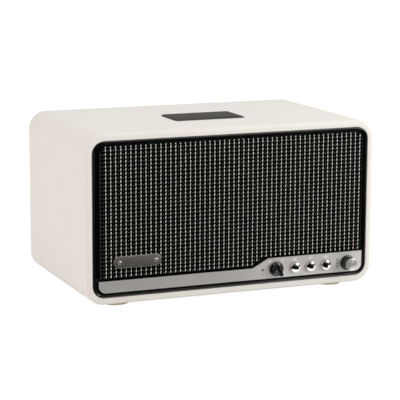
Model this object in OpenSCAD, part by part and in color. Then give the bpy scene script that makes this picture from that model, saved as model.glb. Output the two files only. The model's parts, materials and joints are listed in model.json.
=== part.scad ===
// A tabletop radio: a round-cornered cabinet, two drivers behind a woven grille, a metal strip of
// controls below it, and a telescopic antenna folded across the back.
// The origin is on the surface it stands on, under the middle of its box. +Z is up, -Y is the front.

/* [Cabinet] */
// Width of the cabinet
body_w = 300; // [290:1:320]
// Depth of the cabinet
body_d = 180; // [170:1:200]
// Height of the cabinet without its feet
body_h = 162.5; // [160:0.5:175]
// Radius of the four long edges
corner_r = 17.5; // [14:0.5:20]
// Radius of the front and rear edges
edge_r = 3; // [1:0.5:4]
// Thickness of the walls
wall = 12; // [10:0.5:14]

/* [Front] */
// Width of the cabinet's own edge beside the bezel
lip_x = 6.2; // [5:0.1:8]
// Height of the cabinet's own edge above and below the bezel
lip_z = 6.6; // [5:0.1:8]
// Radius of the front opening's corners
opening_r = 11; // [10:0.5:13]
// Width of the rounded ridge round the front
ridge_w = 3; // [2:0.1:4]
// Groove between the ridge and the grille
groove_w = 2.6; // [2:0.1:3]
// How far the ridge stands in front of the cabinet
ridge_proud = 0.6; // [0:0.1:1.4]
// How far the grille and the strip stand in front of the cabinet
proud = 2; // [1:0.1:3]

/* [Control strip] */
// Height of the strip on its low side
strip_low = 11.3; // [9:0.1:13]
// Height of the strip on its high side
strip_high = 20; // [19:0.1:22]
// Where the slope between the two sides starts
slope_x = 19.6; // [10:0.1:24]
// Width of the slope between the two sides
slope_w = 16.6; // [10:0.1:18]
// Place of the selector knob
selector_x = 44.4; // [43:0.1:47]
// Place of the middle push-button
button_x = 81.7; // [79:0.1:85]
// Distance between the push-buttons
button_pitch = 16.7; // [15:0.1:18]
// Place of the volume knob
volume_x = 122.2; // [120:0.1:125]
// Radius of the push-buttons
button_r = 5; // [4:0.1:5.4]
// Travel of the push-buttons
button_travel = 1; // [0.5:0.1:1.2]

/* [Drivers] */
// Distance of each driver from the middle
driver_x = 68; // [60:1:72]
// Height of the drivers above the cabinet's middle
driver_z = 8; // [4:1:12]

/* [Badge] */
// Width of the badge
badge_w = 47.8; // [36:0.1:50]
// Height of the badge
badge_h = 11.4; // [9:0.1:12]

/* [Top pad] */
// Width of the pad
pad_w = 74; // [60:1:90]
// Depth of the pad
pad_d = 44; // [36:1:52]
// Height of the pad
pad_h = 1.45; // [1:0.05:2]

/* [Feet] */
// Radius of a foot
foot_r = 13; // [10:0.5:16]
// Height of a foot
foot_h = 4; // [2.5:0.1:5]
// Distance of the feet from the middle
foot_x = 113.5; // [100:0.5:120]
// Distance of the feet from the front and rear faces
foot_inset = 23.5; // [20:0.5:30]

/* [Antenna] */
// Length of the folded antenna
mast_l = 150; // [120:1:180]
// Radius of its largest tube
mast_r = 3.5; // [3:0.1:3.5]

/* [Hidden] */
$fn = 72;
gap = 0.1;       // between pieces that are fixed together
running = 0.06;  // between pieces that turn or slide

driver_parts = ["basket", "magnet", "cone", "voice_coil", "surround", "spider"];

// Depths are measured from the cabinet's front face, positive towards the rear.
cloth_t = 0.8;                         // thickness of the grille cloth
panel_y = [-proud, 1 - proud];         // control panel
carrier_y = [1 - proud, 2.4];          // plastic carrier behind the panel
flange_y = [2.5, 5];                   // flat of the bezel, behind the grille
baffle_y = [5, 17];                    // board that carries the drivers
board_y = [9.4, 11];                   // control board
ledge_y = [body_d - 21, body_d - 9];   // inner ledge that the rear panel is screwed to
rear_y = [body_d - 9, body_d - 3];     // rear panel
plate_y = [rear_y[1], rear_y[1] + 1.2];// connector plate

// The front opening, and the raised island of grille and strip inside it
opening_w = body_w - 2 * lip_x;
opening_h = body_h - 2 * lip_z;
island_w = opening_w - 2 * (ridge_w + groove_w);
island_h = opening_h - 2 * (ridge_w + groove_w) + 0.8;
island_r = opening_r - ridge_w - 1;
strip_gap = 2;                         // black gap between the strip and the grille
control_z = 8.9 - island_h / 2;        // line of the knobs and buttons
controls_x = 81;                       // middle of the control board
lens_x = 30.3;                           // light pipe at the left end of the board
slope_angle = atan2(strip_high - strip_low, slope_w);

// Knobs
bush_r = 3.5;                          // threaded bush of a rotary control
shaft_r = 2.5;
nut_y = [-proud - 2, -proud];
knob_y = -proud - 0.4;                 // back of both knobs
selector_reach = 9.6;
volume_reach = 11;
pointer_angle = 118;                   // where the selector points, from the right
button_back = 1.2;                     // rear face of a button's collar

// Driver depths and radii
seat_y = 9;                            // bottom of the driver's seat in the baffle
frame_y = 6;                           // front face of its flange
flange_r = 46;
cone_r = 31;
coil_r = 12.5;
neck_y = 22;                           // where the cone meets the voice coil
spider_y = 26;
top_plate_y = 34;
driver_screw_r = 42.5;

// Rear panel
port_z = 18;
port_r = 18;
port_wall = 2.5;
port_flange_r = 30;
plate_z = -42;
plate_w = 104;
plate_h = 30;
rocker_x = -34;
rocker_pivot_y = rear_y[1] - 4.4;
rocker_tilt = 8;
inlet_x = 32;

// Antenna: its pivot, and tubes that step down in radius by one wall and one clearance
ear_t = 2.5;
ear_r = 4;
mast_y = body_d + 0.9 + mast_r;
mast_x = 118;
mast_z = 50;
tube_wall = 0.55;
tube_step = tube_wall + 0.1;
pin_r = 1.25;

// The whole part's box is centred on the origin
front_reach = proud + volume_reach;
rear_reach = mast_y + ear_r - body_d;
front_y = (front_reach - rear_reach - body_d) / 2;
mid_z = foot_h + body_h / 2;
floor_z = wall - body_h / 2;

// ---- helpers ----

// Moves from the cabinet's front face, at its middle, to the part's own origin
module placed() translate([0, front_y, mid_z]) children();

// Extrudes a front view between two depths
module slab(y) translate([0, y[1], 0]) rotate([90, 0, 0]) linear_extrude(y[1] - y[0]) children();

// A cylinder along the depth
module rod(x, z, y, r) translate([x, y[0], z]) rotate([-90, 0, 0]) cylinder(h = y[1] - y[0], r = r);

// Turns a profile of radius and depth about a line along the depth
module turned(x, z) translate([x, 0, z]) rotate([-90, 0, 0]) rotate_extrude() children();

// A box of size s with its middle at x and z, between two depths
module block(x, z, y, w, h) translate([x - w / 2, y[0], z - h / 2]) cube([w, y[1] - y[0], h]);

// A rectangle with round corners
module rounded(w, h, r) {
    square([w - 2 * r, h], center = true);
    square([w, h - 2 * r], center = true);
    for (sx = [-1, 1], sz = [-1, 1]) translate([sx * (w / 2 - r), sz * (h / 2 - r)]) circle(r);
}

// Half of a section with both of its outer corners rounded by e
module half_section(reach, depth, e) {
    square([reach - e, depth]);
    translate([0, e]) square([reach, depth - 2 * e]);
    for (d = [e, depth - e]) translate([reach - e, d]) circle(e);
}

module whole_section(w, depth, e) for (s = [0, 1]) mirror([s, 0]) half_section(w / 2, depth, e);

// A box with corners of radius r seen from the front, and its front and rear edges rounded by e
module pillow(w, h, r, depth, e) {
    for (sx = [-1, 1], sz = [-1, 1])
        translate([sx * (w / 2 - r), 0, sz * (h / 2 - r)])
            rotate([-90, 0, 0]) rotate_extrude() half_section(r, depth, e);
    translate([0, 0, r - h / 2]) linear_extrude(h - 2 * r) whole_section(w, depth, e);
    translate([r - w / 2, 0, 0]) rotate([0, 90, 0])
        linear_extrude(w - 2 * r) whole_section(h, depth, e);
}

// Carries a section of outward distance and depth round a rectangle with corners of radius r
module carried_round(w, h, r) {
    for (corner = [[1, -1, 0], [-1, -1, 90], [-1, 1, 180], [1, 1, 270]])
        translate([corner[0] * (w / 2 - r), 0, corner[1] * (h / 2 - r)])
            rotate([0, corner[2], 0]) rotate([-90, 0, 0])
                rotate_extrude(angle = 90) translate([r, 0]) children();
    for (s = [0, 1]) mirror([s, 0, 0])
        translate([w / 2, 0, r - h / 2]) linear_extrude(h - 2 * r) children();
    for (s = [0, 1]) mirror([0, 0, s])
        translate([w / 2 - r, 0, h / 2]) rotate([0, -90, 0]) linear_extrude(w - 2 * r) children();
}

// The stepped line along the top of the strip, raised by an even gap
function step_line(raise) =
    let (shift = raise * tan(slope_angle / 2), low = strip_low - island_h / 2 + raise,
         high = strip_high - island_h / 2 + raise)
    [[-body_w, low], [slope_x - shift, low], [slope_x + slope_w - shift, high], [body_w, high]];

module strip_outline(inset) intersection() {
    rounded(island_w - 2 * inset, island_h - 2 * inset, island_r - inset);
    polygon(concat(step_line(-inset), [[body_w, -body_h], [-body_w, -body_h]]));
}

module grille_outline(inset) intersection() {
    rounded(island_w - 2 * inset, island_h - 2 * inset, island_r - inset);
    polygon(concat(step_line(strip_gap + inset), [[body_w, body_h], [-body_w, body_h]]));
}

function button_places() = [for (i = [-1, 0, 1]) button_x + i * button_pitch];

function rear_screw_places() =
    [for (x = [-134.5, -48, 48, 134.5], z = [-66, 66]) [x * body_w / 300, z * body_h / 162.5]];

function driver_screw_places(side) =
    [for (a = [45:90:315])
        [side * driver_x + driver_screw_r * cos(a), driver_z + driver_screw_r * sin(a)]];

// ---- cabinet and front ----

module cabinet() color("ivory") placed() difference() {
    pillow(body_w, body_h, corner_r, body_d, edge_r);
    slab([-1, baffle_y[1]]) rounded(opening_w, opening_h, opening_r);
    slab([baffle_y[1] - 1, ledge_y[0]])
        rounded(body_w - 2 * wall, body_h - 2 * wall, corner_r - wall);
    slab([ledge_y[0] - 1, ledge_y[1] + 1]) rounded(body_w - 44, body_h - 44, 6);
    slab([rear_y[0], body_d + 1]) rounded(body_w - 18, body_h - 18, corner_r - 9);
    for (p = rear_screw_places()) rod(p[0], p[1], [rear_y[0] - 10, rear_y[0] + 1], 1.6);
    for (x = [-foot_x, foot_x], y = [foot_inset, body_d - foot_inset])
        translate([x, y, -body_h / 2 - 1]) cylinder(h = 10, r = 1.6);
}

// Ridge with a round crest, and the flat that lies behind the grille
module front_bezel() color("#141414") placed() {
    carried_round(opening_w - 2 * gap, opening_h - 2 * gap, opening_r - gap)
        polygon(concat([[0, flange_y[1]], [-ridge_w, flange_y[1]]],
            [for (a = [180:15:360])
                ridge_w / 2 * [cos(a) - 1, sin(a) + 1] - [0, ridge_proud]]));
    slab(flange_y) difference() {
        rounded(opening_w - ridge_w, opening_h - ridge_w, opening_r - ridge_w / 2);
        rounded(opening_w - 24, opening_h - 18, 4);
        translate([controls_x, control_z]) square([110, 17.4], center = true);
    }
}

module front_baffle() color("#3a2f28") placed() difference() {
    slab(baffle_y) rounded(opening_w - 4 * gap, opening_h - 4 * gap, opening_r - 2 * gap);
    for (side = [-1, 1]) {
        rod(side * driver_x, driver_z, [baffle_y[0] - 1, seat_y], flange_r + 0.3);
        rod(side * driver_x, driver_z, [seat_y - 1, baffle_y[1] + 1], 38);
        for (p = driver_screw_places(side)) rod(p[0], p[1], [seat_y - 1, 15.5], 1.95);
    }
    block(controls_x, control_z, [baffle_y[0] - 1, baffle_y[1] + 1], 110, 20.4);
}

module grille_frame() color("#1c1c1c") placed() slab([cloth_t - proud, flange_y[0] - gap])
    difference() {
        grille_outline(cloth_t);
        for (side = [-1, 1]) translate([side * driver_x, 13]) rounded(108, 94, 10);
        for (x = badge_screw_places()) translate([x, badge_z]) circle(1.1);
    }

// The cloth lies over the frame and turns round its edges
module grille_cloth() color("#2b2a28") placed() difference() {
    slab([-proud, flange_y[0] - gap]) grille_outline(0);
    slab([cloth_t - proud, flange_y[0] + 1]) grille_outline(cloth_t);
    for (x = badge_screw_places()) rod(x, badge_z, [-proud - 1, 1], 1.1);
}

badge_x = -99.9;
badge_z = -40.6;
badge_y = [-proud - 1.8, -proud];
function badge_screw_places() = [for (s = [-1, 1]) badge_x + s * (badge_w - badge_h) / 2];

module badge_plate() color("#55524d") placed() difference() {
    slab(badge_y) translate([badge_x, badge_z]) rounded(badge_w, badge_h, badge_h / 2 - 0.01);
    for (x = badge_screw_places()) rod(x, badge_z, [badge_y[0] - 1, badge_y[1] + 1], 1.1);
}

// Two slotted screws that also hold the badge to the grille's frame
module badge_screws() color("silver") placed() for (x = badge_screw_places()) difference() {
    union() {
        turned(x, badge_z) polygon([[0, badge_y[0] - 1], [1.4, badge_y[0] - 0.9],
            [2, badge_y[0] - 0.4], [2, badge_y[0]], [0, badge_y[0]]]);
        rod(x, badge_z, [badge_y[0] - 0.2, 2], 1);
    }
    translate([x, badge_y[0] - 1, badge_z]) rotate([0, 50, 0]) cube([5, 1, 0.6], center = true);
}

// ---- control strip ----

module control_panel() color("#b4b1ac") placed() difference() {
    slab(panel_y) strip_outline(0);
    for (x = [selector_x, volume_x]) rod(x, control_z, [panel_y[0] - 1, 1], bush_r + gap);
    for (x = button_places()) rod(x, control_z, [panel_y[0] - 1, 1], button_r + 0.65);
    rod(lens_x, control_z, [panel_y[0] - 1, 1], 1);
}

module panel_carrier() color("#202020") placed() difference() {
    union() {
        slab(carrier_y) strip_outline(0.6);
        for (x = [57, 108], z = [-6, 6]) rod(x, control_z + z, [carrier_y[1] - 1, board_y[0]], 2);
    }
    for (x = [selector_x, volume_x]) rod(x, control_z, [-3, 4], bush_r + gap);
    for (x = button_places()) rod(x, control_z, [-3, 4], button_r + 1.2);
    rod(lens_x, control_z, [-3, 4], 1);
}

// The board carries a push switch behind each button
module control_board() color("darkgreen") placed() {
    block(controls_x, control_z, board_y, 107, 18);
    for (x = button_places()) difference() {
        block(x, control_z, [board_y[0] - 3.5, board_y[0] + 0.2], 6.2, 6.2);
        rod(x, control_z, [board_y[0] - 4, board_y[0] - 1], 2);
    }
}

// Light pipe from the board to the panel
module status_lens() color("#303438") placed() rod(lens_x, control_z, [panel_y[0], board_y[0]], 0.9);

module panel_nuts() color("silver") placed() for (x = [selector_x, volume_x]) difference() {
    translate([x, nut_y[0], control_z]) rotate([-90, 0, 0])
        cylinder(h = nut_y[1] - nut_y[0], r = 5.5, $fn = 6);
    rod(x, control_z, [nut_y[0] - 1, nut_y[1] + 1], bush_r + 0.05);
}

// A rotary control: a body behind the carrier, and a threaded bush through the panel
module rotary_control(x) difference() {
    union() {
        block(x, control_z, [carrier_y[1] + 0.05, board_y[0] - 0.05], 13, 13);
        rod(x, control_z, [nut_y[0] - 0.4, carrier_y[1] + 1], bush_r);
    }
    rod(x, control_z, [nut_y[0] - 1, 8.4], shaft_r + running);
}

module rotary_shaft(x, reach) rod(x, control_z, [-proud - reach + 1.8, 8.3], shaft_r);

module selector_switch() color("#8a8f94") placed() rotary_control(selector_x);
module volume_control() color("#8a8f94") placed() rotary_control(volume_x);
module selector_shaft() color("silver") placed() rotary_shaft(selector_x, selector_reach);
module volume_shaft() color("silver") placed() rotary_shaft(volume_x, volume_reach);

// The hollow under a knob, for the nut, and its bore
module knob_bore(x, reach) {
    rod(x, control_z, [nut_y[0] - 0.7, 0], 5.8);
    rod(x, control_z, [-proud - reach + 1.7, 0], shaft_r + 0.02);
}

// Pointer knob: a stepped round base with a bar across it
module selector_knob() color("#161616") placed() difference() {
    union() {
        turned(selector_x, control_z) polygon([[0, knob_y], [7.2, knob_y], [7.2, knob_y - 1.6],
            [6.6, knob_y - 2.1], [5.5, knob_y - 3], [5.1, knob_y - 4.6], [0, knob_y - 5]]);
        translate([selector_x, 0, control_z]) rotate([0, -pointer_angle, 0]) hull()
            for (end = [[-5.6, 1.7, 0], [5.3, 1.2, 0], [-5.2, 1.4, -1], [4.9, 0.9, -1]])
                rod(end[0], 0, [-proud - selector_reach - (end[2] < 0 ? 0 : -0.8), knob_y - 1.5],
                    end[1], $fn = 32);
    }
    knob_bore(selector_x, selector_reach);
}

// Volume knob: a round flange, and a fluted grip under a metal cap
module volume_knob() color("#1a1a1a") placed() difference() {
    union() {
        turned(volume_x, control_z) polygon([[0, knob_y], [7.6, knob_y], [7.6, knob_y - 1.1],
            [7.2, knob_y - 1.5], [6, knob_y - 1.6], [0, knob_y - 1.6]]);
        slab([0.8 - proud - volume_reach, knob_y - 1]) translate([volume_x, control_z])
            polygon([for (i = [0:95]) (i % 2 == 0 ? 6.35 : 6.1) * [cos(i * 3.75), sin(i * 3.75)]]);
    }
    knob_bore(volume_x, volume_reach);
}

module volume_cap() color("#c9c6c2") placed() turned(volume_x, control_z)
    translate([0, -proud - volume_reach]) polygon([[0, 0.35], [5.8, 0], [6.1, 0.1], [6.3, 0.4],
        [6.3, 0.8], [0, 0.8]]);

module button_rings() color("#c9c6c2") placed() for (x = button_places()) difference() {
    union() {
        turned(x, control_z) polygon([[0, -proud - 0.8], [button_r + 0.7, -proud - 0.8],
            [button_r + 1.1, -proud - 0.4], [button_r + 1.1, -proud], [0, -proud]]);
        rod(x, control_z, [-proud - 0.2, 0.1], button_r + 0.6);
    }
    rod(x, control_z, [-proud - 2, 1], button_r + running);
}

// Domed button with a collar behind its ring and a stem that reaches its switch
module push_button(x) {
    rise = 2.4;
    dome_r = (button_r * button_r + rise * rise) / (2 * rise);
    turned(x, control_z) intersection() {
        translate([0, dome_r - proud - 3.8]) circle(dome_r);
        translate([0, -proud - 4.2]) square([button_r, 0.4 + rise]);
    }
    rod(x, control_z, [-proud - 3.8 + rise, button_back], button_r);
    rod(x, control_z, [0.2, button_back], button_r + 0.9);
    rod(x, control_z, [button_back - 0.5, board_y[0] - 3.2 - button_travel], 1.8);
}

module back_button() color("silver") placed() push_button(button_places()[0]);
module play_button() color("silver") placed() push_button(button_places()[1]);
module next_button() color("silver") placed() push_button(button_places()[2]);

// A coil spring along the depth, swept as one closed tube
module button_spring(x) {
    turns = 4;
    steps = 14 * turns;
    sides = 6;
    wire_r = 0.25;
    rest = [button_back + 0.35, board_y[0] - 3.85];
    points = [for (i = [0:steps], j = [0:sides - 1])
        let (turn = i * 360 * turns / steps, around = j * 360 / sides,
             r = 3.1 + wire_r * cos(around))
        [x + r * cos(turn), rest[0] + (rest[1] - rest[0]) * i / steps + wire_r * sin(around),
         control_z + r * sin(turn)]];
    walls = [for (i = [0:steps - 1], j = [0:sides - 1])
        [i * sides + j, i * sides + (j + 1) % sides,
         (i + 1) * sides + (j + 1) % sides, (i + 1) * sides + j]];
    ends = [[for (j = [sides - 1:-1:0]) j], [for (j = [0:sides - 1]) steps * sides + j]];
    polyhedron(points, concat(walls, ends));
}

module back_spring() color("silver") placed() button_spring(button_places()[0]);
module play_spring() color("silver") placed() button_spring(button_places()[1]);
module next_spring() color("silver") placed() button_spring(button_places()[2]);

// ---- drivers ----

// Flange, open cage and the shelf that holds the spider and the magnet
module basket(side) color("#2a2a2a") placed() difference() {
    turned(side * driver_x, driver_z) polygon([[36.2, frame_y], [flange_r, frame_y],
        [flange_r, seat_y - 0.8], [37.5, seat_y - 0.8], [35.6, seat_y + 8], [27.5, top_plate_y - 4],
        [27.5, top_plate_y], [coil_r + 1.8, top_plate_y], [coil_r + 1.8, top_plate_y - 2],
        [24.8, top_plate_y - 2], [25.6, spider_y + 1.2], [23.4, spider_y + 1.2],
        [23.4, spider_y + 0.6], [26, spider_y + 0.6], [33.8, seat_y + 8]]);
    for (a = [0:60:300]) translate([side * driver_x, 0, driver_z]) rotate([0, a + 30, 0])
        translate([0, 18, -5]) cube([50, 6.5, 10]);
    for (p = driver_screw_places(side)) rod(p[0], p[1], [0, seat_y + 1], 2.1);
}

// Top plate, ring magnet, back plate and pole, with the gap that the coil moves in
module magnet(side) color("#4a4a4c") placed() turned(side * driver_x, driver_z)
    polygon([[0, top_plate_y - 1], [coil_r - 0.5, top_plate_y - 1], [coil_r - 0.5, 50], [19, 50],
        [19, 39], [coil_r + 1.1, 39], [coil_r + 1.1, top_plate_y + 0.05], [27, top_plate_y + 0.05],
        [27, 39], [32, 39], [32, 49.5], [28, 49.5], [28, 54], [0, 54]]);

module cone(side) color("#17181a") placed() turned(side * driver_x, driver_z) {
    polygon([[coil_r + 0.7, neck_y], [cone_r, 6.1], [cone_r, 7.1], [coil_r + 0.7, neck_y + 1.2]]);
    polygon([[0, 10], [5, 10.6], [9.5, 12.4], [14.6, 16.4], [16.6, 18.6], [16.2, 20.2],
        [14, 17.6], [9, 13.6], [4.8, 11.6], [0, 11]]);
}

module voice_coil(side) color("#b87333") placed() turned(side * driver_x, driver_z)
    translate([coil_r, neck_y - 1]) square([0.6, 18]);

// A half-roll between the cone and the flange
module surround(side) color("#0e0e0f") placed() turned(side * driver_x, driver_z) difference() {
    union() {
        translate([(cone_r + 36.7) / 2, frame_y]) circle(3);
        translate([36, frame_y - 0.6]) square([2.8, 0.6]);
    }
    translate([(cone_r + 36.7) / 2, frame_y]) circle(2.4);
    translate([cone_r - 3, frame_y]) square([12, 5]);
}

module spider(side) color("#a5732e") placed() turned(side * driver_x, driver_z)
    polygon([for (back = [0, 1], i = [0:10])
        let (k = back == 0 ? i : 10 - i)
        [coil_r + 0.65 + k * 1.15, spider_y + back * 0.5 - (k % 2) * 0.8]]);

module driver_gaskets() color("#0c0c0c") placed() for (side = [-1, 1]) difference() {
    rod(side * driver_x, driver_z, [seat_y - 0.8, seat_y], flange_r - 0.2);
    rod(side * driver_x, driver_z, [seat_y - 2, seat_y + 1], 38);
    for (p = driver_screw_places(side)) rod(p[0], p[1], [0, seat_y + 1], 2.1);
}

module driver_screws() color("#303030") placed() for (side = [-1, 1], p = driver_screw_places(side))
    difference() {
        union() {
            turned(p[0], p[1]) polygon([[0, frame_y - 1.6], [2, frame_y - 1.5],
                [3.2, frame_y - 0.7], [3.2, frame_y], [0, frame_y]]);
            rod(p[0], p[1], [frame_y - 0.2, 15], 1.85);
        }
        for (a = [0, 90]) translate([p[0], frame_y - 1.6, p[1]]) rotate([0, a, 0])
            cube([3, 1.6, 0.7], center = true);
    }

// ---- rear ----

module rear_panel() color("#232323") placed() difference() {
    slab(rear_y) rounded(body_w - 18.4, body_h - 18.4, corner_r - 9.2);
    rod(0, port_z, [rear_y[0] - 1, rear_y[1] + 1], port_r + port_wall + gap);
    block(0, plate_z, [rear_y[0] - 1, rear_y[1] + 1], plate_w - 10, plate_h - 10);
    rod(mast_x, mast_z, [rear_y[0] - 1, rear_y[1] + 1], 4.5 + running);
    for (p = rear_screw_places()) rod(p[0], p[1], [rear_y[0] - 1, rear_y[1] + 1], 1.9);
}

module rear_screws() color("#3a3a3a") placed() for (p = rear_screw_places()) difference() {
    union() {
        turned(p[0], p[1]) polygon([[0, rear_y[1]], [3.4, rear_y[1]], [3.4, rear_y[1] + 0.8],
            [2.2, rear_y[1] + 1.8], [0, rear_y[1] + 2]]);
        rod(p[0], p[1], [rear_y[0] - 8, rear_y[1] + 0.2], 1.55);
    }
    for (a = [0, 90]) translate([p[0], rear_y[1] + 2, p[1]]) rotate([0, a, 0])
        cube([3.4, 2, 0.7], center = true);
}

// Reflex port with a flared mouth
module bass_port() color("#1b1b1b") placed() turned(0, port_z) polygon(concat(
    [[port_r, rear_y[1] - 85], [port_r + port_wall, rear_y[1] - 85],
     [port_r + port_wall, rear_y[1]], [port_flange_r, rear_y[1]],
     [port_flange_r, rear_y[1] + 1.6]],
    [for (a = [0:15:90]) [port_r + 9 - 9 * sin(a), rear_y[1] + 2.4 - 12 * (1 - cos(a))]]));

module connector_plate() color("#77777a") placed() difference() {
    slab(plate_y) translate([0, plate_z]) rounded(plate_w, plate_h, 4);
    block(rocker_x, plate_z, [plate_y[0] - 1, plate_y[1] + 1], 13.4, 19.4);
    block(inlet_x, plate_z, [plate_y[0] - 1, plate_y[1] + 1], 22.2, 13.2);
    rod(0, plate_z, [plate_y[0] - 1, plate_y[1] + 1], 4.1);
}

// Two-pin mains inlet
module power_inlet() color("#111111") placed() {
    difference() {
        block(inlet_x, plate_z, [rear_y[0] - 10, plate_y[1] + 0.8], 22, 13);
        slab([rear_y[0] - 4, plate_y[1] + 2]) translate([inlet_x, plate_z]) rounded(17, 8.8, 4.39);
    }
    for (s = [-1, 1]) rod(inlet_x + s * 4.4, plate_z, [rear_y[0] - 6, rear_y[1] - 2], 1.2);
}

module aux_jack() color("#151515") placed() difference() {
    union() {
        block(0, plate_z, [rear_y[0] - 10, rear_y[1]], 12, 12);
        rod(0, plate_z, [rear_y[1] - 1, plate_y[1] + 0.8], 4);
    }
    rod(0, plate_z, [rear_y[0] - 8, plate_y[1] + 2], 1.8);
}

module power_switch() color("#181818") placed() difference() {
    union() {
        block(rocker_x, plate_z, [rear_y[0] - 8, plate_y[1] + 0.4], 13.2, 19.2);
        block(rocker_x, plate_z, [plate_y[1], plate_y[1] + 1], 15.4, 21.4);
    }
    block(rocker_x, plate_z, [rear_y[0] - 6, plate_y[1] + 3], 9.2, 15.6);
    translate([rocker_x - 6, rocker_pivot_y, plate_z]) rotate([0, 90, 0])
        cylinder(h = 12, r = 1.2 + running);
}

// Rocker with a hollow face, at rest on its upper side
module power_rocker() color("#101010") placed()
    translate([rocker_x, rocker_pivot_y, plate_z]) rotate([-rocker_tilt, 0, 0]) {
        rotate([90, 0, 90]) linear_extrude(8.8, center = true)
            polygon([[6.8, -6.6], [5.9, -3], [5.6, 0], [5.9, 3], [6.8, 6.6], [1, 6.6], [-3, 2],
                [-3, -2], [1, -6.6]]);
        rotate([0, 90, 0]) cylinder(h = 11.6, r = 1.2, center = true);
    }

// ---- electronics on the cabinet's floor ----

module power_supply() color("#6d7074") placed() translate([-112, 70, floor_z]) difference() {
    union() {
        cube([62, 80, 34]);
        translate([-8, 10, 0]) cube([78, 60, 1.5]);
    }
    for (i = [0:6]) translate([8 + i * 7, -1, 12]) cube([3, 4, 14]);
}

// Board on four posts with its coils and capacitors
module amplifier_board() color("darkgreen") placed() translate([-20, 66, floor_z]) {
    for (x = [5, 85], y = [5, 75]) translate([x, y, 0]) cylinder(h = 7, r = 3);
    translate([0, 0, 6]) cube([90, 80, 1.6]);
    for (x = [16, 32, 48]) translate([x, 18, 7]) cylinder(h = 18, r = 6);
    for (x = [66, 79]) translate([x - 5, 10, 7]) cube([10, 10, 8]);
}

module heatsink() color("#8f9194") placed() translate([-12, 106, floor_z + 7.65]) {
    cube([60, 30, 3]);
    for (i = [0:8]) translate([i * 7.3, 0, 2]) cube([1.6, 30, 20]);
}

module tuner_module() color("#b9bbbd") placed() translate([80, 84, floor_z]) {
    cube([44, 34, 1.6]);
    translate([3, 3, 1]) cube([30, 28, 8]);
    translate([33, 17, 5]) rotate([0, 90, 0]) cylinder(h = 8, r = 3);
}

// ---- antenna ----

function tube_r(i) = mast_r - i * tube_step;

module along_mast(x, r) translate([x[0], mast_y, mast_z]) rotate([0, 90, 0])
    cylinder(h = x[1] - x[0], r = r);

// A tube i steps down from the largest, closed at its end near the pivot
module tube(i) difference() {
    mouth = mast_x - mast_l - 1.5 * i;
    back = mast_x - 8 - 3 * i;
    along_mast([mouth, back], tube_r(i));
    along_mast([mouth - 1, back - 2], tube_r(i) - tube_wall);
}

// Turret that swivels in the rear panel, with a fork and its pin
module antenna_turret() color("silver") placed() {
    rod(mast_x, mast_z, [rear_y[0] - 1, rear_y[1] + 0.2], 4.5);
    turned(mast_x, mast_z) polygon([[0, rear_y[1] + 0.05], [8, rear_y[1] + 0.05],
        [8, rear_y[1] + 1.4], [7.2, rear_y[1] + 2], [0, rear_y[1] + 2]]);
    rod(mast_x, mast_z, [rear_y[0] - 2.2, rear_y[0] - 0.05], 6.5);
    for (s = [-1, 1]) translate([mast_x, 0, mast_z + s * (mast_r + 0.05 + ear_t / 2)]) {
        translate([-ear_r, rear_y[1] + 1, -ear_t / 2])
            cube([2 * ear_r, mast_y - rear_y[1] - 1, ear_t]);
        translate([0, mast_y, 0]) cylinder(h = ear_t, r = ear_r, center = true);
    }
    translate([mast_x, mast_y, mast_z])
        cylinder(h = 2 * (mast_r + 0.05 + ear_t), r = pin_r, center = true);
}

module antenna_mast() color("silver") placed() difference() {
    union() {
        tube(0);
        along_mast([mast_x - 9, mast_x - 1], mast_r);
        translate([mast_x, mast_y, mast_z]) cylinder(h = 2 * mast_r - 0.1, r = mast_r, center = true);
    }
    translate([mast_x, mast_y, mast_z])
        cylinder(h = 3 * mast_r, r = pin_r + running, center = true);
}

module antenna_middle() color("silver") placed() tube(1);

module antenna_tip() color("silver") placed() {
    along_mast([mast_x - mast_l - 5, mast_x - 14], tube_r(2));
    along_mast([mast_x - mast_l - 9, mast_x - mast_l - 2.2], mast_r - 0.2);
}

// ---- pad and feet ----

// Pad with sloping edges, stuck to the top
module top_pad() color("#4b4843") placed()
    translate([0, body_d / 2 - 11, body_h / 2]) hull() {
        linear_extrude(0.5) rounded(pad_w, pad_d, 4, $fn = 32);
        linear_extrude(pad_h) rounded(pad_w - 4.4, pad_d - 4.4, 2.4, $fn = 32);
    }

function foot_places() =
    [for (x = [-foot_x, foot_x], y = [foot_inset, body_d - foot_inset]) [x, y, -body_h / 2 - foot_h]];

module feet() color("#d2b98c") placed() for (p = foot_places()) translate(p) difference() {
    rotate_extrude() polygon([[0, 0], [foot_r - 0.5, 0], [foot_r, 0.5], [foot_r, foot_h],
        [0, foot_h]]);
    translate([0, 0, -1]) cylinder(h = foot_h + 2, r = 1.8);
    translate([0, 0, -1]) cylinder(h = 2.4, r = 3.8);
}

module foot_screws() color("silver") placed() for (p = foot_places()) translate(p) difference() {
    union() {
        translate([0, 0, 0.5]) cylinder(h = 0.9, r = 3.5);
        translate([0, 0, 0.6]) cylinder(h = foot_h + 6, r = 1.5);
    }
    for (a = [0, 90]) rotate([0, 0, a]) cube([3.6, 0.7, 2], center = true);
}

// ---- what is drawn ----

cabinet();
front_bezel();
front_baffle();
grille_frame();
grille_cloth();
badge_plate();
badge_screws();
control_panel();
panel_carrier();
control_board();
status_lens();
panel_nuts();
selector_knob();
selector_shaft();
selector_switch();
volume_knob();
volume_cap();
volume_shaft();
volume_control();
button_rings();
back_button();
play_button();
next_button();
back_spring();
play_spring();
next_spring();
for (side = [["left_", -1], ["right_", 1]]) {
    basket(side[1]);
    magnet(side[1]);
    cone(side[1]);
    voice_coil(side[1]);
    surround(side[1]);
    spider(side[1]);
}
driver_gaskets();
driver_screws();
rear_panel();
rear_screws();
bass_port();
connector_plate();
power_inlet();
aux_jack();
power_switch();
power_rocker();
power_supply();
amplifier_board();
heatsink();
tuner_module();
antenna_turret();
antenna_mast();
antenna_middle();
antenna_tip();
top_pad();
feet();
foot_screws();
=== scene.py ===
import json
import math
import random

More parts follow.
